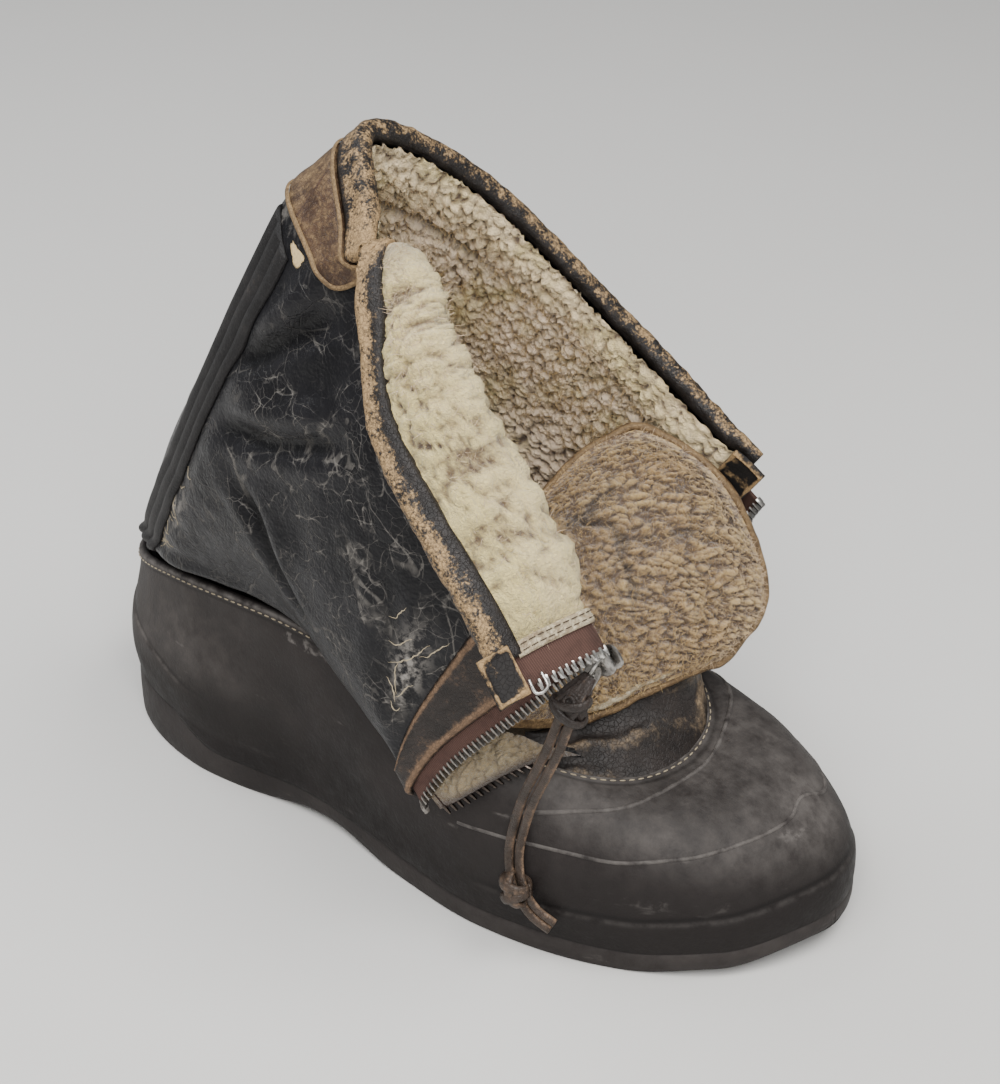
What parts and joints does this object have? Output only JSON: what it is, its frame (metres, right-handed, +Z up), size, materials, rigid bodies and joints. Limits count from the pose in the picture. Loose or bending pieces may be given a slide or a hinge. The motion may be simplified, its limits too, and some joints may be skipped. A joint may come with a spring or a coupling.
{
  "type": "flying boot",
  "caption": "Slouched sheepskin flying boot for the right foot, with a moulded rubber bottom, an open front zip, a woolly tongue and a leather thong on the zip pull.",
  "frame": {"origin": "on the floor, under the middle of the boot's box, measured without the leather thong", "axes": "+X towards the toe, +Z up, -Y towards the outer side of the foot"},
  "size_m": [0.3176, 0.1748, 0.2735],
  "materials": {
    "rubber": "matt, dusty and scuffed",
    "felt": "matt felt",
    "black_leather": "worn gloss with grey cracks",
    "wool": "curly sheep's wool",
    "brown_leather": "worn satin with tan scuffs",
    "tan_leather": "worn matt",
    "zip_tape": "woven tape",
    "zip_metal": "dulled bright metal",
    "thong_leather": "worn dark leather"
  },
  "bodies": {
    "root": {"outsole": "rubber", "insole": "felt", "rubber_bottom": "rubber", "shaft": "black_leather", "collar_band": "brown_leather", "backstay": "black_leather", "zip_band_outer": "brown_leather", "zip_band_inner": "brown_leather", "collar_binding": "tan_leather", "zip_tape_outer": "zip_tape", "zip_teeth_outer": "zip_metal", "zip_tape_lip": "zip_tape", "zip_teeth_lip": "zip_metal", "zip_tape_inner": "zip_tape", "zip_teeth_inner": "zip_metal", "tongue": "wool", "tongue_piping": "tan_leather", "collar_tab_outer": "brown_leather", "collar_tab_inner": "brown_leather", "zip_slider": "zip_metal", "zip_pull": "zip_metal", "cord_hitch": "thong_leather", "cord_strand_a": "thong_leather", "cord_strand_b": "thong_leather", "cord_knot": "thong_leather", "cord_tail_a": "thong_leather", "cord_tail_b": "thong_leather"}
  },
  "joints": []
}
